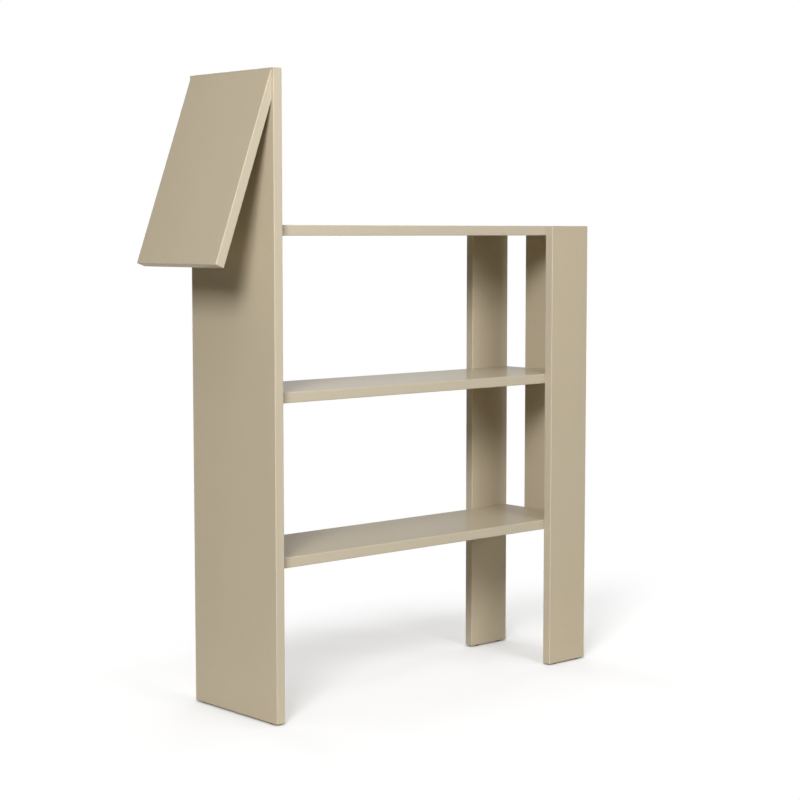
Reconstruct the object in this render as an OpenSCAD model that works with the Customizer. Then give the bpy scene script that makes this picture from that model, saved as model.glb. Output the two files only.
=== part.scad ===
// A free-standing bookcase of lacquered boards, shaped like a long-necked animal.
// A tall neck panel stands at one end with a slanting head panel on its outer face.
// Two narrow legs clasp the far ends of three shelves, and a tail board closes those ends.
// X runs along the shelves from head to tail, Y from front to back, Z up from the floor.

/* [Boards] */
// Height of the neck panel's top above the floor
neck_height = 1100; // [980:10:1300]
// Depth of the neck panel, front to back
depth = 233; // [220:1:320]
// Thickness of every board
board_t = 18; // [16:1:24]
// Radius on the boards' edges
arris = 1.5; // [0.5:0.5:2]

/* [Shelves] */
// Length of a shelf, from the neck panel to the tail board
shelf_length = 747; // [500:1:1000]
// Distance from one shelf's top face to the next, and from the floor to the first
shelf_pitch = 281; // [200:1:300]

/* [Legs and tail] */
// Width of the front and back legs
leg_width = 98; // [90:1:160]
// Width of the tail board
tail_width = 98; // [90:1:120]

/* [Head] */
// Length of the head panel's outer face, measured down its slope
head_length = 342; // [250:1:400]
// Slant of the head panel from the upright
head_angle = 20; // [18:0.5:26]
// Set-back of the head panel from the neck panel's front and back edges
head_inset = 4; // [0:0.5:15]
// Width of the flat left on the thin top edge of the head panel's bevel
tip_flat = 1; // [0.5:0.5:2]

/* [Cam fittings] */
// Diameter of a cam
cam_d = 15; // [14:0.5:16]
// Distance from the end of a shelf to the middle of a cam
cam_reach = 34; // [30:1:38]
// How far a cam goes past the axis of its bolt
cam_over = 4.2; // [4:0.1:5]
// Distance between the two cams at the neck panel
cam_spacing = 120; // [100:1:140]
// Diameter of a bolt's shank
shank_d = 6; // [5:0.5:6.5]
// Diameter of a bolt's head
bolt_head_d = 6.4; // [6:0.1:6.8]
// Diameter of a bolt's neck, behind the head
bolt_neck_d = 3.6; // [3:0.1:4]
// Diameter over a bolt's thread
thread_d = 6; // [5:0.5:6.5]
// Length of a bolt's thread in the upright board
thread_length = 11; // [9:0.5:12]
// Diameter of a cam cap's flange
cap_d = 18; // [17.5:0.5:20]
// Thickness of a cap's flange
cap_t = 1; // [0.8:0.1:1.5]

/* [Dowels] */
// Diameter of a shelf dowel
dowel_d = 8; // [6:1:8]
// Length of a shelf dowel
dowel_length = 30; // [25:1:40]
// Depth of a shelf dowel in the upright board
dowel_seat = 10; // [8:1:12]
// Distance between the two dowels of one joint
dowel_spacing = 60; // [48:1:68]

/* [Head fixings] */
// Distance from the inner corner of the head joint up to its screws and dowels
head_fixing_rise = 10; // [9:0.5:14]
// How far a head screw goes into the head panel
head_screw_bite = 11; // [8:0.5:11.5]
// Diameter of a head screw's thread
head_screw_d = 4; // [3.5:0.5:4.5]
// Diameter of a head screw's head
head_screw_head_d = 8; // [7.5:0.5:9]
// Distance between neighbouring head screws
head_screw_spacing = 80; // [60:1:85]
// Depth of the hole above a screw's head, which the screw cap closes
screw_sink = 4; // [3.5:0.5:5]
// Diameter of a head dowel
head_dowel_d = 6; // [5:0.5:6.5]
// Length of a head dowel
head_dowel_length = 20; // [18:1:22]

/* [Glides] */
// Height of a glide's pad under the board
glide_h = 2; // [1.5:0.5:4]
// Diameter of a glide's pad
glide_d = 14; // [10:1:15]
// Diameter of a glide's stem
glide_stem_d = 5; // [4:0.5:6]
// Length of a glide's stem in the board
glide_stem_length = 12; // [8:1:16]
// Distance from a foot's edge to the middle of its glide
glide_margin = 20; // [15:1:30]

/* [Hidden] */
$fn = 48;

// Colours: satin lacquer, moulded caps, zinc, steel, beech, glide plastic
LACQUER = [0.72, 0.67, 0.56];
CAP = [0.70, 0.65, 0.55];
ZINC = [0.70, 0.71, 0.72];
STEEL = [0.62, 0.63, 0.65];
BEECH = [0.80, 0.66, 0.47];
GLIDE = [0.16, 0.15, 0.14];

// Clearances, each over the whole diameter or gap
FIT = 0.2;          // a fitting in its hole
SLACK = 0.6;        // a bolt's head and neck in the cam, and its shank in the shelf
HOLE_SPARE = 1;     // extra depth at the blind end of a hole
THROUGH = 1;        // how far a cut runs past a face that it opens

// The shelves' levels, counted up from the floor
LEVELS = [1, 2, 3];
BOTTOM = LEVELS[0];
MIDDLE = LEVELS[1];
TOP = LEVELS[2];

// Where things lie along X, measured from the neck panel's outer face
shelf_start = board_t;
shelf_end = board_t + shelf_length;
leg_mid = shelf_end - leg_width / 2;
tail_outer = shelf_end + board_t;
head_corner = head_length * sin(head_angle);
head_reach = head_corner - arris * (sin(head_angle) + cos(head_angle) - 1);

// Along Y the shelves lie between the two legs
shelf_front = board_t;
shelf_back = depth - board_t;
mid_depth = depth / 2;

// Heights
leg_top = TOP * shelf_pitch;
tail_bottom = BOTTOM * shelf_pitch - board_t;
head_joint_low = neck_height - board_t / sin(head_angle);
head_fixing_z = head_joint_low + head_fixing_rise;
tip_drop = tip_flat / tan(head_angle);

// The origin is on the floor, in the middle of the whole bookcase
origin_x = (tail_outer - head_reach) / 2;

// Fittings
cam_h = board_t / 2 + cam_over;
cam_recess_d = 4;
cam_recess_h = 3;
cam_slot_w = 1.6;
cam_slot_l = 9;
bolt_head_l = 3.5;
bolt_head_back = 4;         // from the cam's middle to the back of the bolt's head
bolt_neck_l = 5;
collar_d = 7.2;
collar_t = 1.5;
thread_pitch = 1.6;
thread_depth = 0.6;
screw_pitch = 1.4;
screw_depth = 0.6;
screw_head_h = 2.6;
recess_w = 1.2;
recess_l = 4.6;
recess_h = 1.6;
cap_plug_h = 2.2;
dowel_chamfer = 1;
glide_edge = 0.5;

function shelf_mid_z(level) = level * shelf_pitch - board_t / 2;

// Moves its children from the neck panel's outer front corner to the bookcase's origin
module placed() {
    translate([-origin_x, -mid_depth, 0])
        children();
}

// A rectangle with one corner at the origin and its corners rounded by the arris
module eased_rectangle(w, h) {
    translate([arris, 0])
        square([w - 2 * arris, h]);
    translate([0, arris])
        square([w, h - 2 * arris]);
    for (x = [arris, w - arris], y = [arris, h - arris])
        translate([x, y])
            circle(r = arris);
}

// A board with one corner at the origin and all its edges eased
module board(size) {
    intersection() {
        linear_extrude(size.z)
            eased_rectangle(size.x, size.y);
        translate([0, size.y, 0])
            rotate([90, 0, 0])
                linear_extrude(size.y)
                    eased_rectangle(size.x, size.z);
        rotate([90, 0, 90])
            linear_extrude(size.x)
                eased_rectangle(size.y, size.z);
    }
}

// The four ways a shelf's edge meets an upright. In each, the local origin is on the
// joint's face at the middle of the shelf's thickness, and +X points into the shelf.
module at_neck(level, offsets) {
    for (offset = offsets)
        translate([shelf_start, mid_depth + offset, shelf_mid_z(level)])
            children();
}

module at_front_leg(level, offsets) {
    for (offset = offsets)
        translate([leg_mid + offset, shelf_front, shelf_mid_z(level)])
            rotate([0, 0, 90])
                children();
}

module at_back_leg(level, offsets) {
    for (offset = offsets)
        translate([leg_mid + offset, shelf_back, shelf_mid_z(level)])
            rotate([0, 0, -90])
                children();
}

module at_tail(level, offsets) {
    for (offset = offsets)
        translate([shelf_end, mid_depth + offset, shelf_mid_z(level)])
            rotate([0, 0, 180])
                children();
}

// A joint has a pair of dowels. The neck has a pair of cams, the other uprights one each.
PAIR_OF_DOWELS = [-dowel_spacing / 2, dowel_spacing / 2];
PAIR_OF_CAMS = [-cam_spacing / 2, cam_spacing / 2];
ONE_CAM = [0];

module at_every_cam(level) {
    at_neck(level, PAIR_OF_CAMS)
        children();
    at_front_leg(level, ONE_CAM)
        children();
    at_back_leg(level, ONE_CAM)
        children();
    at_tail(level, ONE_CAM)
        children();
}

module at_every_dowel(level) {
    at_neck(level, PAIR_OF_DOWELS)
        children();
    at_front_leg(level, PAIR_OF_DOWELS)
        children();
    at_back_leg(level, PAIR_OF_DOWELS)
        children();
    at_tail(level, PAIR_OF_DOWELS)
        children();
}

// A round bar or hole along X, from x0 to x1
module rod(x0, x1, d) {
    translate([x0, 0, 0])
        rotate([0, 90, 0])
            cylinder(d = d, h = x1 - x0);
}

// A threaded bar along X, from x0 to x1, with ring-shaped ridges
module threaded_rod(x0, x1, d, pitch, ridge) {
    turns = floor((x1 - x0) / pitch);
    step = (x1 - x0) / turns;
    translate([x0, 0, 0])
        rotate([0, 90, 0])
            rotate_extrude()
                polygon(concat(
                    [[0, 0]],
                    [for (i = [0:turns - 1], k = [0, 1])
                        [d / 2 - (k == 0 ? ridge : 0), (i + k / 2) * step]],
                    [[d / 2 - ridge, x1 - x0], [0, x1 - x0]]));
}

// Holes at one joint, in the shelf and in the upright board
module cam_holes() {
    rod(-THROUGH, cam_reach, collar_d + SLACK);
    translate([cam_reach, 0, -board_t / 2 - THROUGH])
        cylinder(d = cam_d + FIT, h = THROUGH + cam_h + FIT);
}

module bolt_hole() {
    rod(-thread_length - HOLE_SPARE, THROUGH, thread_d + FIT);
}

module dowel_hole() {
    rod(-dowel_seat - HOLE_SPARE, dowel_length - dowel_seat + HOLE_SPARE, dowel_d + FIT);
}

// A cam in its locked place, with the pocket that holds the bolt's head
module cam() {
    translate([cam_reach, 0, 0])
        difference() {
            translate([0, 0, -board_t / 2])
                cylinder(d = cam_d, h = cam_h);
            rod(-bolt_head_back - FIT, FIT, bolt_head_d + SLACK);
            rod(-cam_d, 0, bolt_neck_d + SLACK);
            translate([0, 0, -board_t / 2 - THROUGH])
                cylinder(d = cam_recess_d, h = THROUGH + cam_recess_h);
            translate([-cam_slot_l / 2, -cam_slot_w / 2, -board_t / 2 - THROUGH])
                cube([cam_slot_l, cam_slot_w, THROUGH + cam_recess_h / 2]);
        }
}

// A cap over a cam, with a peg that holds in the cam's recess
module cam_cap() {
    translate([cam_reach, 0, -board_t / 2]) {
        translate([0, 0, -cap_t])
            cylinder(d = cap_d, h = cap_t);
        cylinder(d = cam_recess_d - FIT, h = cap_plug_h);
    }
}

// A connecting bolt: thread in the upright, collar, shank, neck and head in the cam
module cam_bolt() {
    neck_start = cam_reach - bolt_head_back - bolt_neck_l;
    threaded_rod(-thread_length, 0, thread_d, thread_pitch, thread_depth);
    rod(0, collar_t, collar_d);
    rod(collar_t, neck_start, shank_d);
    rod(neck_start, cam_reach - bolt_head_back, bolt_neck_d);
    rod(cam_reach - bolt_head_back, cam_reach - bolt_head_back + bolt_head_l, bolt_head_d);
}

// A dowel with chamfered ends, from x0 along X
module dowel(x0, length, d) {
    translate([x0, 0, 0])
        rotate([0, 90, 0])
            rotate_extrude()
                polygon([[0, 0], [d / 2 - dowel_chamfer, 0], [d / 2, dowel_chamfer],
                         [d / 2, length - dowel_chamfer], [d / 2 - dowel_chamfer, length],
                         [0, length]]);
}

// Places along the head joint, on the neck panel's outer face. +X points through the neck.
HEAD_SCREW_OFFSETS = [-head_screw_spacing, 0, head_screw_spacing];
HEAD_DOWEL_OFFSETS = [-head_screw_spacing / 2, head_screw_spacing / 2];

module at_head_joint(offsets) {
    for (offset = offsets)
        translate([0, mid_depth + offset, head_fixing_z])
            children();
}

screw_head_x = board_t - screw_sink;
screw_tip_x = -head_screw_bite;

module head_screw_hole() {
    rod(screw_tip_x - HOLE_SPARE, board_t, head_screw_d + FIT);
    rod(screw_head_x - screw_head_h, board_t + THROUGH, head_screw_head_d + FIT);
}

module head_dowel_hole() {
    rod(-head_dowel_length / 2 - HOLE_SPARE, head_dowel_length / 2 + HOLE_SPARE,
        head_dowel_d + FIT);
}

// A glide's place under the neck panel or a leg. +Z points up into the board.
module at_neck_glides() {
    for (y = [glide_margin, depth - glide_margin])
        translate([board_t / 2, y, glide_h])
            children();
}

module at_leg_glides(y) {
    for (side = [-1, 1])
        translate([leg_mid + side * (leg_width / 2 - glide_margin), y, glide_h])
            children();
}

module glide_hole() {
    translate([0, 0, -THROUGH])
        cylinder(d = glide_stem_d + FIT, h = THROUGH + glide_stem_length + HOLE_SPARE);
}

module glide() {
    translate([0, 0, -glide_h])
        rotate_extrude()
            polygon([[0, 0], [glide_d / 2 - glide_edge, 0], [glide_d / 2, glide_edge],
                     [glide_d / 2, glide_h], [glide_stem_d / 2, glide_h],
                     [glide_stem_d / 2, glide_h + glide_stem_length],
                     [0, glide_h + glide_stem_length]]);
}

// The boards
module neck_panel() {
    color(LACQUER)
        placed()
            difference() {
                translate([0, 0, glide_h])
                    board([board_t, depth, neck_height - glide_h]);
                for (level = LEVELS) {
                    at_neck(level, PAIR_OF_CAMS)
                        bolt_hole();
                    at_neck(level, PAIR_OF_DOWELS)
                        dowel_hole();
                }
                at_head_joint(HEAD_SCREW_OFFSETS)
                    head_screw_hole();
                at_head_joint(HEAD_DOWEL_OFFSETS)
                    head_dowel_hole();
                at_neck_glides()
                    glide_hole();
            }
}

// A sloping board, cut off in the plane of the neck panel's outer face and at its thin tip
module head_panel() {
    corner_z = neck_height - head_length * cos(head_angle);
    cut = head_length;
    color(LACQUER)
        placed()
            difference() {
                translate([-head_corner, head_inset, corner_z])
                    rotate([0, head_angle, 0])
                        board([board_t, depth - 2 * head_inset, head_length + 2 * arris]);
                translate([0, 0, neck_height - cut])
                    cube([cut, depth, 2 * cut]);
                translate([-cut, 0, neck_height - tip_drop])
                    cube([2 * cut, depth, cut]);
                at_head_joint(HEAD_SCREW_OFFSETS)
                    head_screw_hole();
                at_head_joint(HEAD_DOWEL_OFFSETS)
                    head_dowel_hole();
            }
}

module shelf(level) {
    color(LACQUER)
        placed()
            difference() {
                translate([shelf_start, shelf_front, shelf_mid_z(level) - board_t / 2])
                    board([shelf_length, shelf_back - shelf_front, board_t]);
                at_every_cam(level)
                    cam_holes();
                at_every_dowel(level)
                    dowel_hole();
            }
}

module top_shelf() {
    shelf(TOP);
}

module middle_shelf() {
    shelf(MIDDLE);
}

module bottom_shelf() {
    shelf(BOTTOM);
}

module front_leg() {
    color(LACQUER)
        placed()
            difference() {
                translate([leg_mid - leg_width / 2, 0, glide_h])
                    board([leg_width, board_t, leg_top - glide_h]);
                for (level = LEVELS) {
                    at_front_leg(level, ONE_CAM)
                        bolt_hole();
                    at_front_leg(level, PAIR_OF_DOWELS)
                        dowel_hole();
                }
                at_leg_glides(board_t / 2)
                    glide_hole();
            }
}

module back_leg() {
    color(LACQUER)
        placed()
            difference() {
                translate([leg_mid - leg_width / 2, depth - board_t, glide_h])
                    board([leg_width, board_t, leg_top - glide_h]);
                for (level = LEVELS) {
                    at_back_leg(level, ONE_CAM)
                        bolt_hole();
                    at_back_leg(level, PAIR_OF_DOWELS)
                        dowel_hole();
                }
                at_leg_glides(depth - board_t / 2)
                    glide_hole();
            }
}

module tail_board() {
    color(LACQUER)
        placed()
            difference() {
                translate([shelf_end, mid_depth - tail_width / 2, tail_bottom])
                    board([board_t, tail_width, leg_top - tail_bottom]);
                for (level = LEVELS) {
                    at_tail(level, ONE_CAM)
                        bolt_hole();
                    at_tail(level, PAIR_OF_DOWELS)
                        dowel_hole();
                }
            }
}

// The cams and their caps, one set in the underside of each shelf
module shelf_cams(level) {
    color(ZINC)
        placed()
            at_every_cam(level)
                cam();
}

module top_shelf_cams() {
    shelf_cams(TOP);
}

module middle_shelf_cams() {
    shelf_cams(MIDDLE);
}

module bottom_shelf_cams() {
    shelf_cams(BOTTOM);
}

module shelf_cam_caps(level) {
    color(CAP)
        placed()
            at_every_cam(level)
                cam_cap();
}

module top_shelf_cam_caps() {
    shelf_cam_caps(TOP);
}

module middle_shelf_cam_caps() {
    shelf_cam_caps(MIDDLE);
}

module bottom_shelf_cam_caps() {
    shelf_cam_caps(BOTTOM);
}

// The bolts and dowels, one set in each upright
module neck_cam_bolts() {
    color(STEEL)
        placed()
            for (level = LEVELS)
                at_neck(level, PAIR_OF_CAMS)
                    cam_bolt();
}

module front_leg_cam_bolts() {
    color(STEEL)
        placed()
            for (level = LEVELS)
                at_front_leg(level, ONE_CAM)
                    cam_bolt();
}

module back_leg_cam_bolts() {
    color(STEEL)
        placed()
            for (level = LEVELS)
                at_back_leg(level, ONE_CAM)
                    cam_bolt();
}

module tail_cam_bolts() {
    color(STEEL)
        placed()
            for (level = LEVELS)
                at_tail(level, ONE_CAM)
                    cam_bolt();
}

module shelf_dowel() {
    dowel(-dowel_seat, dowel_length, dowel_d);
}

module neck_dowels() {
    color(BEECH)
        placed()
            for (level = LEVELS)
                at_neck(level, PAIR_OF_DOWELS)
                    shelf_dowel();
}

module front_leg_dowels() {
    color(BEECH)
        placed()
            for (level = LEVELS)
                at_front_leg(level, PAIR_OF_DOWELS)
                    shelf_dowel();
}

module back_leg_dowels() {
    color(BEECH)
        placed()
            for (level = LEVELS)
                at_back_leg(level, PAIR_OF_DOWELS)
                    shelf_dowel();
}

module tail_dowels() {
    color(BEECH)
        placed()
            for (level = LEVELS)
                at_tail(level, PAIR_OF_DOWELS)
                    shelf_dowel();
}

// The head panel's fixings, driven from the neck panel's inner face
module head_screws() {
    color(STEEL)
        placed()
            at_head_joint(HEAD_SCREW_OFFSETS)
                difference() {
                    union() {
                        threaded_rod(screw_tip_x, screw_head_x - screw_head_h, head_screw_d,
                                     screw_pitch, screw_depth);
                        translate([screw_head_x - screw_head_h, 0, 0])
                            rotate([0, 90, 0])
                                cylinder(d1 = head_screw_d, d2 = head_screw_head_d,
                                         h = screw_head_h);
                    }
                    for (turn = [0, 90])
                        rotate([turn, 0, 0])
                            translate([screw_head_x - recess_h, -recess_l / 2, -recess_w / 2])
                                cube([recess_h + THROUGH, recess_l, recess_w]);
                }
}

module head_dowels() {
    color(BEECH)
        placed()
            at_head_joint(HEAD_DOWEL_OFFSETS)
                dowel(-head_dowel_length / 2, head_dowel_length, head_dowel_d);
}

module head_screw_caps() {
    color(CAP)
        placed()
            at_head_joint(HEAD_SCREW_OFFSETS) {
                rod(board_t, board_t + cap_t, head_screw_head_d + 2 * cap_t);
                rod(board_t - screw_sink + HOLE_SPARE, board_t, head_screw_head_d);
            }
}

// The glides
module neck_glides() {
    color(GLIDE)
        placed()
            at_neck_glides()
                glide();
}

module front_leg_glides() {
    color(GLIDE)
        placed()
            at_leg_glides(board_t / 2)
                glide();
}

module back_leg_glides() {
    color(GLIDE)
        placed()
            at_leg_glides(depth - board_t / 2)
                glide();
}

neck_panel();
head_panel();
top_shelf();
middle_shelf();
bottom_shelf();
front_leg();
back_leg();
tail_board();
top_shelf_cams();
middle_shelf_cams();
bottom_shelf_cams();
top_shelf_cam_caps();
middle_shelf_cam_caps();
bottom_shelf_cam_caps();
neck_cam_bolts();
front_leg_cam_bolts();
back_leg_cam_bolts();
tail_cam_bolts();
neck_dowels();
front_leg_dowels();
back_leg_dowels();
tail_dowels();
head_screws();
head_dowels();
head_screw_caps();
neck_glides();
front_leg_glides();
back_leg_glides();
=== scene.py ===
import math

import bpy
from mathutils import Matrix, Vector


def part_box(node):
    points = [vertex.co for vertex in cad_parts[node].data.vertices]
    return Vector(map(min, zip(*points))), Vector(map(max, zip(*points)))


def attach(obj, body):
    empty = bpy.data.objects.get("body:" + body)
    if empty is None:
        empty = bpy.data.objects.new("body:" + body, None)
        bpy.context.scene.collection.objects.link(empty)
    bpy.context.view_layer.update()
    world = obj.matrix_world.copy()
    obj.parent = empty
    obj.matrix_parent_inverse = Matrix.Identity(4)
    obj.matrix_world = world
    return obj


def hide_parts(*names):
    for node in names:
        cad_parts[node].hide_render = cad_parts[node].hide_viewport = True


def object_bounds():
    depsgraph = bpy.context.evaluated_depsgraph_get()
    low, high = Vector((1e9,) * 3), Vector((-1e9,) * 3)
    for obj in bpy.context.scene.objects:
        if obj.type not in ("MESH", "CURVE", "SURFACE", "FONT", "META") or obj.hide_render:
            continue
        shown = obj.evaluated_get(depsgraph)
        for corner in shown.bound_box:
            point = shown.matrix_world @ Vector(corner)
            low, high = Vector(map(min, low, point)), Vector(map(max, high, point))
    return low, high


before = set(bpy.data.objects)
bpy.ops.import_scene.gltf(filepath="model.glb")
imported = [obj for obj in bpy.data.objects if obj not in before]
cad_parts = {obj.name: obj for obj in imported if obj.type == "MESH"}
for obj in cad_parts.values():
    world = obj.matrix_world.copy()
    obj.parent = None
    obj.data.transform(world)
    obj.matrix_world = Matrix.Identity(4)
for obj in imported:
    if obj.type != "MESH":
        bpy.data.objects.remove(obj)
cad_low, cad_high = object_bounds()
scene = bpy.context.scene
scene.view_settings.view_transform = "Standard"
bpy.ops.object.select_all(action="DESELECT")


# Camera
# It stands at the head's end of the bookcase, in front of it and level with the top shelf,
# and looks along the shelves towards the tail, through a long lens.
CAMERA_PLACE = (-2.2471, -2.5480, 0.8287)
CAMERA_TURN = 42.05         # degrees, from +Y towards +X
CAMERA_DIP = 5.10           # degrees below the horizon
CAMERA_LENS = 83.96         # millimetres, on a sensor 36 mm wide

bpy.ops.object.camera_add(
    location=CAMERA_PLACE,
    rotation=(math.radians(90 - CAMERA_DIP), 0, math.radians(-CAMERA_TURN)),
)
camera = bpy.context.object
camera.name = "camera"
camera.data.lens = CAMERA_LENS
camera.data.sensor_width = 36
scene.camera = camera


# Floor and surround
# A matt pale studio floor in front of a white backdrop, which fills the camera's view. Rays
# that look at the floor find it lifted towards white; the bookcase's shadow stays, with painted
# shade close to the bookcase and its feet.
class Wire:
    """A node's output. Arithmetic on wires and numbers adds Math nodes."""

    def __init__(self, tree, socket=None):
        self.tree = tree
        self.socket = socket

    def node(self, kind, settings, sockets, output=0):
        """Adds a node, sets it up, then fills its sockets with values or other wires."""
        made = self.tree.nodes.new(kind)
        for name, value in settings.items():
            if name == "stops":
                ramp = made.color_ramp.elements
                while len(ramp) < len(value):
                    ramp.new(1)
                for stop, (place, colour) in zip(ramp, value):
                    stop.position = place
                    stop.color = (*colour, 1)
            else:
                setattr(made, name, value)
        for name, value in sockets.items():
            if isinstance(value, Wire):
                self.tree.links.new(value.socket, made.inputs[name])
            else:
                made.inputs[name].default_value = value
        return Wire(self.tree, made.outputs[output] if len(made.outputs) else None)

    def math(self, operation, *values):
        return self.node("ShaderNodeMath", {"operation": operation}, dict(enumerate(values)))

    def __add__(self, other):
        return self.math("ADD", self, other)

    def __sub__(self, other):
        return self.math("SUBTRACT", self, other)

    def __mul__(self, other):
        return self.math("MULTIPLY", self, other)

    def __rsub__(self, other):
        return self.math("SUBTRACT", other, self)

    __radd__ = __add__
    __rmul__ = __mul__

    def between(self, low, high):
        """Runs from 0 at low to 1 at high, with soft ends."""
        return self.node("ShaderNodeMapRange", {"interpolation_type": "SMOOTHSTEP"},
                         {"Value": self, "From Min": low, "From Max": high})


def new_material(name):
    """An empty material, and a wire to build its nodes with."""
    material = bpy.data.materials.new(name)
    material.use_nodes = True
    material.node_tree.nodes.clear()
    return material, Wire(material.node_tree)


def finish_material(start, **sockets):
    """Ends a material in one shader, whose sockets are given with _ for a space."""
    named = {name.replace("_", " "): value for name, value in sockets.items()}
    shader = start.node("ShaderNodeBsdfPrincipled", {}, named)
    start.node("ShaderNodeOutputMaterial", {}, {"Surface": shader})


def looking(start):
    """Two masks: the camera's own rays, and these with all that a surface mirrors or lets
    through."""
    camera, mirrored, passed = (start.node("ShaderNodeLightPath", {}, {}, "Is " + kind + " Ray")
                                for kind in ("Camera", "Glossy", "Transmission"))
    return camera, camera.math("MAXIMUM", camera, camera.math("MAXIMUM", mirrored, passed))


FLOOR_SIZE = 40             # metres
FLOOR_DROP = 0.0002         # clear of the glides' lower faces
# Share of the light that it gives back to the bookcase, from close by and from further off
FLOOR_NEAR = (0.640, 0.588, 0.481)
FLOOR_FAR = (0.391, 0.352, 0.263)
NEAR_START = 0.2            # metres from the feet, over which the near one gives way
NEAR_END = 0.9
# Share that it gives back to the camera: least in the lamps' middle, and more with the
# square of the distance from there
FLOOR_SEEN = 0.393
LAMPS_FALL = 0.0305
LAMPS_MIDDLE = (-1.2, -2.0, 0)
# White added for the camera, less where the bookcase covers the floor (painted shade) than where
# nothing does
LIFT_COVERED = 0.23
LIFT_OPEN = 0.54
COVER_REACH = 0.5           # metres within which the bookcase counts as a cover
# A painted contact shadow: next to a foot the added white goes
CONTACT_REACH = 0.008       # metres within which a foot takes all the white away
LIFT_MIRRORED = 0.45        # white added where a surface mirrors the floor
FADE_START = 0.40           # metres from the feet, over which the floor turns plain white
FADE_END = 1.37
FADE_ACROSS = 2.5           # a metre to the front or back counts as this many
BACKDROP_SIDE = 48          # degrees round from +X towards +Y to the backdrop's middle
BACKDROP_SPREAD = (11.5, 5.7)       # degrees from its middle to where it starts, and is full

bpy.ops.mesh.primitive_plane_add(size=FLOOR_SIZE, location=(0, 0, -FLOOR_DROP))
floor = bpy.context.object
floor.name = "floor"
floor_material, start = new_material("matt_pale_floor")
place = start.node("ShaderNodeTexCoord", {}, {}, "Object")
camera_ray, seen = looking(start)
# Ambient occlusion paints shade on the floor: soft under and around the bookcase, and a dark line
# at its feet
open_floor, painted_contact_shade = (start.node("ShaderNodeAmbientOcclusion", {}, {"Distance": reach}, "AO")
                       for reach in (COVER_REACH, CONTACT_REACH))

# How far each point lies outside the rectangle that the bookcase covers
aside = start.node("ShaderNodeVectorMath", {"operation": "ABSOLUTE"}, {0: place})
aside = start.node("ShaderNodeVectorMath", {"operation": "SUBTRACT"},
                   {0: aside, 1: (cad_high.x, cad_high.y, 0)})
aside = start.node("ShaderNodeVectorMath", {"operation": "MAXIMUM"}, {0: aside, 1: (0, 0, 0)})
aside = start.node("ShaderNodeVectorMath", {"operation": "MULTIPLY"},
                   {0: aside, 1: (1, FADE_ACROSS, 0)})
from_feet = start.node("ShaderNodeVectorMath", {"operation": "LENGTH"}, {0: aside}, "Value")

given_back = start.node("ShaderNodeMix", {"data_type": "RGBA"},
                        {"Factor": from_feet.between(NEAR_START, NEAR_END),
                         "A": (*FLOOR_NEAR, 1), "B": (*FLOOR_FAR, 1)}, "Result")
from_lamps = start.node("ShaderNodeVectorMath", {"operation": "DISTANCE"},
                        {0: place, 1: LAMPS_MIDDLE}, "Value")
colour = start.node("ShaderNodeMix", {"data_type": "RGBA"},
                    {"Factor": camera_ray, "A": given_back,
                     "B": FLOOR_SEEN + LAMPS_FALL * from_lamps * from_lamps}, "Result")
matt = start.node("ShaderNodeBsdfDiffuse", {}, {"Color": colour})
lift = (camera_ray * (LIFT_COVERED + (LIFT_OPEN - LIFT_COVERED) * open_floor)
        + LIFT_MIRRORED * (seen - camera_ray))
lifted = start.node("ShaderNodeEmission", {}, {"Strength": lift * painted_contact_shade})
near = start.node("ShaderNodeAddShader", {}, {0: matt, 1: lifted})

white = start.node("ShaderNodeEmission", {}, {"Strength": 1.0})
floor_shader = start.node("ShaderNodeMixShader", {},
                          {0: camera_ray * from_feet.between(FADE_START, FADE_END),
                           1: near, 2: white})
start.node("ShaderNodeOutputMaterial", {}, {"Surface": floor_shader})
floor.data.materials.append(floor_material)

surround = bpy.data.worlds.new("surround")
surround.use_nodes = True
surround.node_tree.nodes.clear()
start = Wire(surround.node_tree)
camera_ray, seen = looking(start)
ray = start.node("ShaderNodeTexCoord", {}, {}, "Generated")
side = math.radians(BACKDROP_SIDE)
towards = start.node("ShaderNodeVectorMath", {"operation": "DOT_PRODUCT"},
                     {0: ray, 1: (math.cos(side), math.sin(side), 0)}, "Value")
backdrop = towards.between(*(math.cos(math.radians(spread)) for spread in BACKDROP_SPREAD))
start.node("ShaderNodeOutputWorld", {},
           {"Surface": start.node("ShaderNodeBackground", {},
                                  {"Color": (1, 1, 1, 1),
                                   "Strength": seen.math("MAXIMUM", camera_ray, seen * backdrop)})})
scene.world = surround


# Lamps
# Softboxes that all face the middle of the bookcase. The key stands on the head's side of the
# camera with the top lamp above it, and the front lamp before the shelves. The others lift
# the sides that these leave dark. Only the top and tail lamps are mirrored in the lacquer.
LAMPS = [
    # name, degrees round from +X towards +Y, degrees up, distance, width, height, watts, mirrored
    ("key", -143, 25, 4.0, 1.0, 1.1, 124.1, False),
    ("top", -140, 52, 5.2, 2.0, 2.0, 46.5, True),
    ("front", -92, 28.6, 2.7, 0.73, 1.18, 26.3, False),
    ("right", -55, 15, 8.0, 1.2, 1.2, 76.0, False),
    ("tail", 42, 36, 3.0, 1.2, 1.2, 12.6, True),
    ("rear", 85, 12, 5.0, 1.5, 1.5, 83.0, False),
    ("end", 12, 3, 8.0, 1.5, 1.0, 200.0, False),
]
aim = (cad_low + cad_high) / 2
for name, round_by, raised_by, distance, width, height, watts, mirrored in LAMPS:
    around, up = math.radians(round_by), math.radians(raised_by)
    away = Vector((math.cos(up) * math.cos(around), math.cos(up) * math.sin(around), math.sin(up)))
    bpy.ops.object.light_add(type="AREA", location=aim + distance * away,
                             rotation=away.to_track_quat("Z", "Y").to_euler())
    lamp = bpy.context.object
    lamp.name = name
    lamp.data.shape = "RECTANGLE"
    lamp.data.size = width
    lamp.data.size_y = height
    lamp.data.energy = watts
    lamp.visible_camera = False
    lamp.visible_glossy = mirrored


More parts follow.
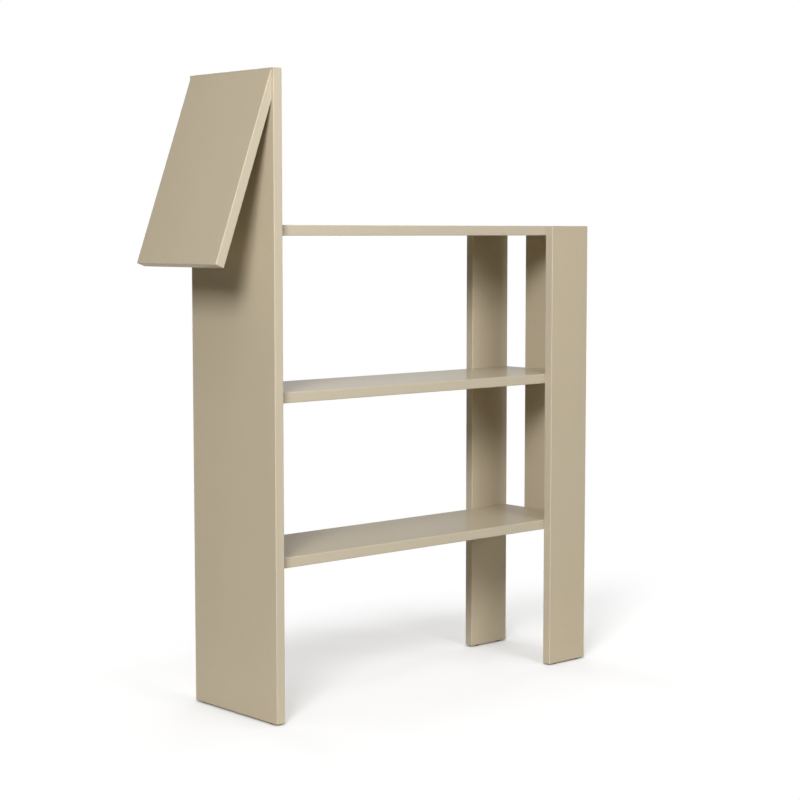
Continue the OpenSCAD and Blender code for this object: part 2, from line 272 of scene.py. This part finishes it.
# Neck panel
# The tall upright at the head's end, which carries the shelves and the head. It is one
# piece of fibreboard with rounded arrises, sprayed on all sides with a satin lacquer.
LACQUER_PALE = (0.519, 0.449, 0.332)
LACQUER_DEEP = (0.508, 0.440, 0.324)
EDGE_COLOUR = (0.521, 0.463, 0.359)     # on the cut edges, where the filler shows paler
# Paler where the lacquer runs thin over an arris, and brightened further as a painted highlight
# along every arris
ARRIS_PALE_AND_HIGHLIGHT_COLOUR = (0.585, 0.514, 0.396)
ARRIS_WEAR_AND_HIGHLIGHT = 0.7            # how far an arris has turned to that colour
ARRIS_WIDTH = 0.0016        # how far the rounding of an arris reaches onto a face
CLOUDS = 9.0                # clouds that the spray gun leaves in a metre
PASSES = (14, 14, 2)        # its passes in a metre, along each axis
PEEL = 0.00001              # height of the lacquer's orange peel
PEEL_DENSITY = 420.0        # its dimples in a metre
FIBRE = 0.00003             # height of the fibres that show through on a cut edge
FIBRE_DENSITY = 1500.0
SATIN = 0.28                # roughness of the film at its smoothest
SKIN = 0.15                 # strength of the smoother skin on top
SKIN_ROUGHNESS = 0.12


def lacquer(name, thin_along, centre, size, slant=0.0):
    """Lacquers a board that is thinnest along an axis. It has that centre and size once it
    is turned upright by its slant about Y."""
    material, start = new_material(name + "_lacquer")
    place = start.node("ShaderNodeTexCoord", {}, {}, "Object")
    upright = start.node("ShaderNodeMapping", {"vector_type": "TEXTURE"},
                         {"Vector": place, "Location": centre, "Rotation": (0, slant, 0)})
    # Depth under each pair of faces: an arris is where two of the three depths are small
    middle = start.node("ShaderNodeVectorMath", {"operation": "ABSOLUTE"}, {0: upright})
    depths = start.node("ShaderNodeVectorMath", {"operation": "SUBTRACT"},
                        {0: tuple(side / 2 for side in size), 1: middle})
    x, y, z = (start.node("ShaderNodeSeparateXYZ", {}, {0: depths}, axis) for axis in "XYZ")
    second = x.math("MAXIMUM", x.math("MINIMUM", x, y),
                    z.math("MINIMUM", z, x.math("MAXIMUM", x, y)))
    arris = 1 - second.between(0.3 * ARRIS_WIDTH, ARRIS_WIDTH)
    thinnest = (x, y, z)["XYZ".index(thin_along)]
    cut_edge = thinnest.between(0.5 * ARRIS_WIDTH, ARRIS_WIDTH)

    # The spray gun leaves faint clouds a hand wide, and faint bands
    clouds = start.node("ShaderNodeTexNoise", {},
                        {"Vector": place, "Scale": CLOUDS, "Detail": 3.0})
    stretched = start.node("ShaderNodeMapping", {}, {"Vector": upright, "Scale": PASSES})
    passes = start.node("ShaderNodeTexNoise", {},
                        {"Vector": stretched, "Scale": 1.0, "Detail": 1.0})
    film = 0.6 * clouds + 0.4 * passes
    face = start.node("ShaderNodeMix", {"data_type": "RGBA"},
                      {"Factor": film.between(0.3, 0.7), "A": (*LACQUER_DEEP, 1),
                       "B": (*LACQUER_PALE, 1)}, "Result")
    with_edges = start.node("ShaderNodeMix", {"data_type": "RGBA"},
                            {"Factor": cut_edge, "A": face, "B": (*EDGE_COLOUR, 1)}, "Result")
    # Every arris is painted paler: thin lacquer, with a painted highlight on top of it
    colour = start.node("ShaderNodeMix", {"data_type": "RGBA"},
                        {"Factor": ARRIS_WEAR_AND_HIGHLIGHT * arris, "A": with_edges,
                         "B": (*ARRIS_PALE_AND_HIGHLIGHT_COLOUR, 1)}, "Result")

    # The film's skin: orange peel all over, and raised fibres on the cut edges
    peel = start.node("ShaderNodeTexNoise", {},
                      {"Vector": place, "Scale": PEEL_DENSITY, "Detail": 1.5})
    fibre = start.node("ShaderNodeTexNoise", {},
                       {"Vector": place, "Scale": FIBRE_DENSITY, "Detail": 2.0})
    skin = PEEL * peel + FIBRE * cut_edge * fibre * (1 - arris)
    bump = start.node("ShaderNodeBump", {}, {"Strength": 1.0, "Distance": 1.0, "Height": skin})
    # Satin all through, with a thin smoother skin on top that mirrors what stands close by
    finish_material(start, Base_Color=colour, Normal=bump, IOR=1.5, Specular_IOR_Level=0.3,
                    Roughness=SATIN + 0.04 * film + 0.05 * cut_edge,
                    Coat_Weight=SKIN, Coat_Roughness=SKIN_ROUGHNESS)
    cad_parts[name].material_slots[0].material = material


def lacquer_straight(name, thin_along):
    """Lacquers a board that stands or lies square."""
    low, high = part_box(name)
    lacquer(name, thin_along, (low + high) / 2, high - low)


lacquer_straight("neck_panel", "X")


# Shelves
# Three alike shelves of the same board, lacquered like the neck. Their left ends stand
# against it, and their right ends lie between the legs.
SHELVES = ("top_shelf", "middle_shelf", "bottom_shelf")
for shelf in SHELVES:
    lacquer_straight(shelf, "Z")


# Legs and tail board
# Two narrow uprights clasp the shelves from the front and the back, and the tail board
# closes the shelves' right ends between them. All are cut from the same board.
lacquer_straight("front_leg", "Y")
lacquer_straight("back_leg", "Y")
lacquer_straight("tail_board", "X")


# Head panel
# A board that slants out and down from the neck's top. Its upper end is cut to a bevel
# and lies flat on the neck's outer face.
HEAD_LENGTH = 0.342         # along its outer face, down from the neck's upper outer corner
HEAD_SLANT = math.radians(20)
HEAD_SPARE = 0.003          # length of the board that the bevel cut takes away

neck_low, neck_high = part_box("neck_panel")
head_low, head_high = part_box("head_panel")
board_thickness = neck_high.x - neck_low.x
up_head = Vector((math.sin(HEAD_SLANT), 0, math.cos(HEAD_SLANT)))
through_head = Vector((math.cos(HEAD_SLANT), 0, -math.sin(HEAD_SLANT)))
head_length = HEAD_LENGTH + HEAD_SPARE
head_bottom = Vector((neck_low.x, 0, neck_high.z)) - HEAD_LENGTH * up_head
head_middle = head_bottom + (head_length * up_head + board_thickness * through_head) / 2
lacquer("head_panel", "X", head_middle,
        (board_thickness, head_high.y - head_low.y, head_length), HEAD_SLANT)


# Cam bolts
# The bolts that draw the boards together: cold-headed steel with a rolled thread, zinc
# plated. Each is screwed into an upright, and its head stands in a cam inside a shelf.
MILLIMETRE = 0.001
CAM_SPACING = 0.120         # between the two cams at the neck
CAM_REACH = 34              # from a shelf's edge to the middle of a cam, in millimetres
# Each upright, with the cams of a shelf that meet it, from the middle of their joint
UPRIGHTS = (("neck", (-CAM_SPACING / 2, CAM_SPACING / 2)), ("front_leg", (0,)),
            ("back_leg", (0,)), ("tail", (0,)))
# Heights and radii in millimetres: the point, the thread's core, the collar, the shank, and
# the narrow neck under the head
BOLT_PROFILE = ((-11, 1.5), (-10.2, 2.4), (0, 2.4), (0, 3.6), (1.5, 3.6), (1.5, 3.0), (25, 3.0),
                (25, 1.8), (30, 1.8), (30, 3.2), (33.5, 3.2))
THREAD_STEPS = 24           # facets in one turn of a thread


def turned(sides, profile):
    """A piece turned about Z, in millimetres, through steps of height and radius."""
    (height, radius), *steps = profile
    bpy.ops.object.select_all(action="DESELECT")
    bpy.ops.mesh.primitive_circle_add(vertices=sides, radius=radius, fill_type="NGON",
                                      location=(0, 0, height))
    piece = bpy.context.object
    bpy.ops.object.transform_apply()
    bpy.ops.object.mode_set(mode="EDIT")
    for next_height, next_radius in steps:
        bpy.ops.mesh.extrude_region_move(
            TRANSFORM_OT_translate={"value": (0, 0, next_height - height)})
        bpy.ops.transform.resize(value=(next_radius / radius, next_radius / radius, 1))
        height, radius = next_height, next_radius
    bpy.ops.mesh.select_all(action="SELECT")
    bpy.ops.mesh.normals_make_consistent(inside=False)
    bpy.ops.object.mode_set(mode="OBJECT")
    return piece


def pick(piece):
    """Selects one piece and nothing else."""
    bpy.ops.object.select_all(action="DESELECT")
    bpy.context.view_layer.objects.active = piece
    piece.select_set(True)


def shaped_by(piece, kind, **settings):
    """Adds a modifier to a piece and applies it."""
    pick(piece)
    modifier = piece.modifiers.new(kind.lower(), kind)
    for name, value in settings.items():
        setattr(modifier, name, value)
    bpy.ops.object.modifier_apply(modifier=modifier.name)


def ease(piece, width):
    """Rounds a piece's sharp corners, by a width in millimetres."""
    shaped_by(piece, "BEVEL", width=width, segments=2, limit_method="ANGLE",
              angle_limit=math.radians(40))


def combine(piece, tool, operation):
    """Joins another solid to a piece, or cuts the piece with it."""
    shaped_by(piece, "BOOLEAN", object=tool, operation=operation, solver="EXACT")
    bpy.data.objects.remove(tool)


def roll_thread(piece, low, high, root, crest, pitch):
    """Rolls a thread onto a turned piece, between two heights. Its ridge starts a little
    inside the root, so that the two join."""
    inside = root - 0.25
    profile = ((inside, -0.40), (crest, -0.07), (crest, 0.07), (inside, 0.40))
    bpy.ops.object.select_all(action="DESELECT")
    bpy.ops.mesh.primitive_circle_add(vertices=len(profile), fill_type="NGON")
    ridge = bpy.context.object
    for corner, (radius, pitches) in zip(ridge.data.vertices, profile):
        corner.co = (radius, 0, low + pitch * (0.5 + pitches))
    shaped_by(ridge, "SCREW", axis="Z", screw_offset=pitch, steps=THREAD_STEPS,
              render_steps=THREAD_STEPS, iterations=int((high - low) / pitch - 1))
    bpy.ops.object.mode_set(mode="EDIT")
    bpy.ops.mesh.select_all(action="DESELECT")
    bpy.ops.mesh.select_non_manifold()
    bpy.ops.mesh.fill_holes(sides=len(profile))
    bpy.ops.mesh.select_all(action="SELECT")
    bpy.ops.mesh.normals_make_consistent(inside=False)
    bpy.ops.object.mode_set(mode="OBJECT")
    combine(piece, ridge, "UNION")


def settle(piece):
    """Keeps a piece's place and turn in its mesh."""
    pick(piece)
    bpy.ops.object.transform_apply()


def turn_onto(piece, axis, degrees):
    """Turns a piece about an axis of its own."""
    piece.rotation_euler["XYZ".index(axis)] = math.radians(degrees)
    settle(piece)


def shelf_joints(upright, shelf, offsets):
    """Places and turns of the fittings where a shelf's edge meets an upright, at offsets
    from the middle of that edge. At each, +X points into the shelf."""
    low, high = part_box(shelf)
    middle = (low + high) / 2
    leg_low, leg_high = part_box("front_leg")
    leg_middle = (leg_low.x + leg_high.x) / 2
    origin, run, turn = {
        "neck": ((low.x, middle.y), (0, 1), 0),
        "front_leg": ((leg_middle, low.y), (1, 0), 90),
        "tail": ((high.x, middle.y), (0, 1), 180),
        "back_leg": ((leg_middle, high.y), (1, 0), 270),
    }[upright]
    return [((origin[0] + offset * run[0], origin[1] + offset * run[1], middle.z), turn)
            for offset in offsets]


def install(pattern, node, material, places):
    """Copies a pattern, made in millimetres, to its places, and joins the copies as the
    piece that stands for a node."""
    copies = []
    for place, turn in places:
        pick(pattern)
        bpy.ops.object.duplicate()
        copy = bpy.context.object
        copy.location = place
        copy.rotation_euler.z = math.radians(turn)
        copy.scale = (MILLIMETRE, MILLIMETRE, MILLIMETRE)
        copies.append(copy)
    for copy in copies:
        copy.select_set(True)
    bpy.ops.object.join()
    bpy.ops.object.transform_apply()
    bpy.ops.object.shade_smooth_by_angle(angle=math.radians(35))
    piece = bpy.context.object
    shaped_by(piece, "WEIGHTED_NORMAL", keep_sharp=True, weight=100)
    piece.name = node + "_detailed"
    piece.data.name = piece.name
    piece.data.materials.clear()
    piece.data.materials.append(material)
    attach(piece, "root")
    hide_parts(node)


def plated_steel():
    """Bright zinc plating with a bluish cast, finer and duller in patches."""
    material, start = new_material("plated_steel")
    place = start.node("ShaderNodeTexCoord", {}, {}, "Object")
    patches = start.node("ShaderNodeTexNoise", {}, {"Vector": place, "Scale": 260.0, "Detail": 4.0})
    grit = start.node("ShaderNodeTexNoise", {}, {"Vector": place, "Scale": 5000.0, "Detail": 2.0})
    colour = start.node("ShaderNodeMix", {"data_type": "RGBA"},
                        {"Factor": patches.between(0.35, 0.65), "A": (0.56, 0.59, 0.64, 1),
                         "B": (0.70, 0.71, 0.70, 1)}, "Result")
    bump = start.node("ShaderNodeBump", {}, {"Strength": 1.0, "Distance": 1.0,
                                             "Height": 0.000006 * grit})
    finish_material(start, Base_Color=colour, Metallic=1.0, Roughness=0.24 + 0.16 * patches,
                    Normal=bump)
    return material


steel = plated_steel()
bolt = turned(32, BOLT_PROFILE)
ease(bolt, 0.25)
roll_thread(bolt, low=-10.6, high=-0.2, root=2.4, crest=3.0, pitch=1.6)
turn_onto(bolt, "Y", 90)
for upright, offsets in UPRIGHTS:
    places = [joint for shelf in SHELVES for joint in shelf_joints(upright, shelf, offsets)]
    install(bolt, upright + "_cam_bolts", steel, places)
bpy.data.objects.remove(bolt)


# Dowels
# Pairs of fluted beech pegs beside the bolts, which place each joint. Their ends are
# chamfered, and the flutes let air and glue out of the hole.
DOWEL_SPACING = 0.060       # between the two of a pair
DOWEL_CHAMFER = 1           # millimetres
FLUTES = 20
FLUTE_DEPTH = 0.3           # millimetres


def fluted_dowel(first, last, radius):
    """A dowel along X, in millimetres, from its first end to its last."""
    tip = radius - DOWEL_CHAMFER
    dowel = turned(2 * FLUTES, ((first, tip), (first + DOWEL_CHAMFER, radius),
                                (last - DOWEL_CHAMFER, radius), (last, tip)))
    for point in dowel.data.vertices:
        step = math.degrees(math.atan2(point.co.y, point.co.x)) / (180 / FLUTES)
        if round(step) % 2:
            point.co.xy *= 1 - FLUTE_DEPTH / radius
    turn_onto(dowel, "Y", 90)
    return dowel


def beech(name, grain):
    """Beech with its grain along an axis: straight fibres and short dark flecks."""
    material, start = new_material(name)
    place = start.node("ShaderNodeTexCoord", {}, {}, "Object")
    scale = [1, 1, 1]
    scale["XYZ".index(grain)] = 0.06
    fibres_place = start.node("ShaderNodeMapping", {}, {"Vector": place, "Scale": scale})
    fibres = start.node("ShaderNodeTexNoise", {},
                        {"Vector": fibres_place, "Scale": 1400.0, "Detail": 5.0})
    rings = start.node("ShaderNodeTexNoise", {}, {"Vector": fibres_place, "Scale": 260.0})
    flecks = start.node("ShaderNodeTexVoronoi", {}, {"Vector": fibres_place, "Scale": 1900.0})
    fleck = 1 - flecks.between(0.10, 0.24)
    wood = start.node("ShaderNodeValToRGB",
                      {"stops": [(0.30, (0.50, 0.33, 0.19)), (0.52, (0.63, 0.44, 0.27)),
                                 (0.75, (0.72, 0.53, 0.35))]},
                      {"Fac": 0.55 * fibres + 0.45 * rings})
    colour = start.node("ShaderNodeMix", {"data_type": "RGBA"},
                        {"Factor": 0.6 * fleck, "A": wood, "B": (0.33, 0.19, 0.10, 1)}, "Result")
    bump = start.node("ShaderNodeBump", {}, {"Strength": 1.0, "Distance": 1.0,
                                             "Height": 0.00002 * fibres})
    finish_material(start, Base_Color=colour, Roughness=0.58 + 0.14 * fibres, Normal=bump)
    return material


dowel = fluted_dowel(first=-10, last=20, radius=4)
pair = (-DOWEL_SPACING / 2, DOWEL_SPACING / 2)
beech_along_x = beech("beech_along_x", "X")
beech_along_y = beech("beech_along_y", "Y")
for upright, wood in (("neck", beech_along_x), ("front_leg", beech_along_y),
                      ("back_leg", beech_along_y), ("tail", beech_along_x)):
    places = [joint for shelf in SHELVES for joint in shelf_joints(upright, shelf, pair)]
    install(dowel, upright + "_dowels", wood, places)
bpy.data.objects.remove(dowel)


# Cams
# Die-cast zinc drums let into the undersides of the shelves. A turn of the slot pulls the
# bolt's head into the drum's hollow, through the slit in its side.
CAM_BOTTOM = -9             # from the middle of a shelf's thickness, in millimetres
CAM_TOP = 4.2
CAM_RADIUS = 7.5


def drum_cut(radius, depth, centre, axis="Z"):
    """A round cutter in millimetres, lying on its axis from its centre."""
    bpy.ops.object.select_all(action="DESELECT")
    bpy.ops.mesh.primitive_cylinder_add(vertices=40, radius=radius, depth=depth, location=centre,
                                        rotation=(0, math.radians(90 if axis == "X" else 0), 0))
    cutter = bpy.context.object
    bpy.ops.object.transform_apply()
    return cutter


def front_half(piece):
    """Keeps only the half of a piece that lies towards -Y."""
    bpy.ops.object.mode_set(mode="EDIT")
    bpy.ops.mesh.select_all(action="SELECT")
    bpy.ops.mesh.bisect(plane_co=(0, 0, 0), plane_no=(0, 1, 0), use_fill=True, clear_outer=True)
    bpy.ops.object.mode_set(mode="OBJECT")
    return piece


def die_cast_zinc():
    """Tumbled zinc, dull grey with a fine cast grain."""
    material, start = new_material("die_cast_zinc")
    place = start.node("ShaderNodeTexCoord", {}, {}, "Object")
    cloud = start.node("ShaderNodeTexNoise", {}, {"Vector": place, "Scale": 180.0, "Detail": 3.0})
    grain = start.node("ShaderNodeTexNoise", {}, {"Vector": place, "Scale": 2600.0, "Detail": 3.0})
    colour = start.node("ShaderNodeMix", {"data_type": "RGBA"},
                        {"Factor": 0.6 * cloud + 0.4 * grain, "A": (0.34, 0.35, 0.37, 1),
                         "B": (0.55, 0.56, 0.57, 1)}, "Result")
    bump = start.node("ShaderNodeBump", {}, {"Strength": 1.0, "Distance": 1.0,
                                             "Height": 0.00003 * grain})
    finish_material(start, Base_Color=colour, Metallic=0.95, Roughness=0.42 + 0.2 * grain,
                    Normal=bump)
    return material


def cam_places(shelf):
    """Places and turns of all the cams in a shelf."""
    return [joint for upright, offsets in UPRIGHTS
            for joint in shelf_joints(upright, shelf, offsets)]


cam = turned(48, ((CAM_BOTTOM, CAM_RADIUS), (CAM_TOP, CAM_RADIUS)))
ease(cam, 0.35)
# The hollow that holds the bolt's head, the hole for its neck, and the slit that the neck
# runs in as the cam turns
combine(cam, drum_cut(3.5, 4.5, (-2.0, 0, 0), "X"), "DIFFERENCE")
combine(cam, drum_cut(2.1, 15.0, (-7.5, 0, 0), "X"), "DIFFERENCE")
combine(cam, front_half(drum_cut(9.0, 4.2, (0, 0, 0))), "DIFFERENCE")
# The round middle of the screwdriver's slot, and the slot itself
combine(cam, drum_cut(2.0, 8.0, (0, 0, CAM_BOTTOM - 1)), "DIFFERENCE")
bpy.ops.mesh.primitive_cube_add(size=1, location=(0, 0, CAM_BOTTOM), scale=(9, 1.6, 3))
combine(cam, bpy.context.object, "DIFFERENCE")
cam.location.x = CAM_REACH
settle(cam)
zinc = die_cast_zinc()
for shelf in SHELVES:
    install(cam, shelf + "_cams", zinc, cam_places(shelf))
bpy.data.objects.remove(cam)


# Cam caps
# Moulded plastic discs in the lacquer's colour, pressed over the cams from below. Each is
# slightly domed and holds by a peg.
def moulded_cap():
    """Plastic with the fine even texture of a spark-eroded mould."""
    material, start = new_material("moulded_cap")
    place = start.node("ShaderNodeTexCoord", {}, {}, "Object")
    texture = start.node("ShaderNodeTexNoise", {},
                         {"Vector": place, "Scale": 3800.0, "Detail": 2.0})
    flow = start.node("ShaderNodeTexNoise", {}, {"Vector": place, "Scale": 120.0, "Detail": 2.0})
    colour = start.node("ShaderNodeMix", {"data_type": "RGBA"},
                        {"Factor": flow, "A": (0.497, 0.427, 0.309, 1),
                         "B": (0.527, 0.456, 0.333, 1)}, "Result")
    bump = start.node("ShaderNodeBump", {}, {"Strength": 1.0, "Distance": 1.0,
                                             "Height": 0.00001 * texture})
    finish_material(start, Base_Color=colour, Roughness=0.46 + 0.12 * texture, Normal=bump)
    return material


plastic = moulded_cap()
# The dome, its rim, and the peg
cap = turned(48, ((-1.0, 5.0), (-0.95, 7.0), (-0.75, 8.4), (-0.40, 8.95), (-0.1, 9.0), (0, 8.9),
                  (0, 1.9), (1.9, 1.9), (2.2, 1.5)))
cap.location = (CAM_REACH, 0, CAM_BOTTOM)
settle(cap)
for shelf in SHELVES:
    install(cap, shelf + "_cam_caps", plastic, cam_places(shelf))
bpy.data.objects.remove(cap)


# Head fixings
# Three countersunk screws with cross recesses, driven through the neck into the head
# panel, two small dowels between them, and caps that close the screw holes.
HEAD_FIXING_RISE = 0.010    # above the inner corner of the head joint
HEAD_SCREW_SPACING = 0.080
SCREW_TIP = -11             # from the neck's outer face, in millimetres
SCREW_HEAD = 14
CAP_FACE = 18               # the neck's inner face

fixing_height = neck_high.z - board_thickness / math.sin(HEAD_SLANT) + HEAD_FIXING_RISE


def head_joints(offsets):
    """Places on the neck's outer face, where +X points through the neck."""
    return [((neck_low.x, offset, fixing_height), 0) for offset in offsets]


# The point, the core, and the countersunk head with its crossed slots
screw = turned(32, ((SCREW_TIP, 0.5), (SCREW_TIP + 2.4, 1.4), (SCREW_HEAD - 2.6, 1.4),
                    (SCREW_HEAD - 2.6, 2.0), (SCREW_HEAD - 0.4, 3.8), (SCREW_HEAD, 3.9)))
roll_thread(screw, low=SCREW_TIP + 1.8, high=SCREW_HEAD - 4.5, root=1.4, crest=2.0, pitch=1.4)
for turn in (0, 90):
    bpy.ops.object.select_all(action="DESELECT")
    bpy.ops.mesh.primitive_cube_add(size=1, location=(0, 0, SCREW_HEAD), scale=(4.6, 1.2, 3.2),
                                    rotation=(0, 0, math.radians(turn)))
    combine(screw, bpy.context.object, "DIFFERENCE")
turn_onto(screw, "Y", 90)
install(screw, "head_screws", steel,
        head_joints((-HEAD_SCREW_SPACING, 0, HEAD_SCREW_SPACING)))
bpy.data.objects.remove(screw)

head_dowel = fluted_dowel(first=-10, last=10, radius=3)
install(head_dowel, "head_dowels", beech_along_x,
        head_joints((-HEAD_SCREW_SPACING / 2, HEAD_SCREW_SPACING / 2)))
bpy.data.objects.remove(head_dowel)

# The plug, and the domed rim that covers the hole's edge
screw_cap = turned(40, ((CAP_FACE - 3, 3.7), (CAP_FACE - 2.6, 4.0), (CAP_FACE, 4.0),
                        (CAP_FACE, 4.95), (CAP_FACE + 0.1, 5.0), (CAP_FACE + 0.45, 4.9),
                        (CAP_FACE + 0.8, 4.3), (CAP_FACE + 0.96, 3.2), (CAP_FACE + 1.0, 1.8)))
turn_onto(screw_cap, "Y", 90)
install(screw_cap, "head_screw_caps", plastic,
        head_joints((-HEAD_SCREW_SPACING, 0, HEAD_SCREW_SPACING)))
bpy.data.objects.remove(screw_cap)


# Glides
# Two dark plastic pads under each foot, hammered in by ribbed stems, which keep the cut
# edges off the floor.
GLIDE_MARGIN = 0.020        # from a foot's ends to the middle of a glide
RIBS = 4
RIB_START = 3               # millimetres from the floor
RIB_PITCH = 2.4


def glide_plastic():
    """Dark polyethylene, waxy, and dulled where it slides on the floor."""
    material, start = new_material("glide_plastic")
    place = start.node("ShaderNodeTexCoord", {}, {}, "Object")
    height = start.node("ShaderNodeSeparateXYZ", {}, {0: place}, "Z")
    scuffs = start.node("ShaderNodeTexNoise", {}, {"Vector": place, "Scale": 900.0, "Detail": 4.0})
    worn = (1 - height.between(0.0, 0.0005)) * scuffs
    colour = start.node("ShaderNodeMix", {"data_type": "RGBA"},
                        {"Factor": worn, "A": (0.022, 0.020, 0.018, 1),
                         "B": (0.09, 0.085, 0.08, 1)}, "Result")
    bump = start.node("ShaderNodeBump", {}, {"Strength": 1.0, "Distance": 1.0,
                                             "Height": 0.00002 * scuffs})
    finish_material(start, Base_Color=colour, Roughness=0.45 + 0.25 * worn, Normal=bump)
    return material


def foot_places(board):
    """Places of the two glides under a board's foot, at the floor."""
    low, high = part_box(board)
    middle = (low + high) / 2
    if high.x - low.x > high.y - low.y:
        return [((x, middle.y, 0), 0) for x in (low.x + GLIDE_MARGIN, high.x - GLIDE_MARGIN)]
    return [((middle.x, y, 0), 0) for y in (low.y + GLIDE_MARGIN, high.y - GLIDE_MARGIN)]


ribs = [step for rib in range(RIBS)
        for step in ((RIB_START + rib * RIB_PITCH, 2.5),
                     (RIB_START + (rib + 0.8) * RIB_PITCH, 2.2))]
# The pad with its worn edge, the stem's root, its ribs, and its point
glide = turned(40, ((0, 6.3), (0.12, 6.7), (0.35, 6.93), (0.7, 7.0), (1.7, 7.0), (2, 6.8),
                    (2, 2.2), *ribs, (13.2, 2.2), (14, 1.4)))
dark_plastic = glide_plastic()
for board in ("neck_panel", "front_leg", "back_leg"):
    node = board.replace("_panel", "") + "_glides"
    install(glide, node, dark_plastic, foot_places(board))
bpy.data.objects.remove(glide)
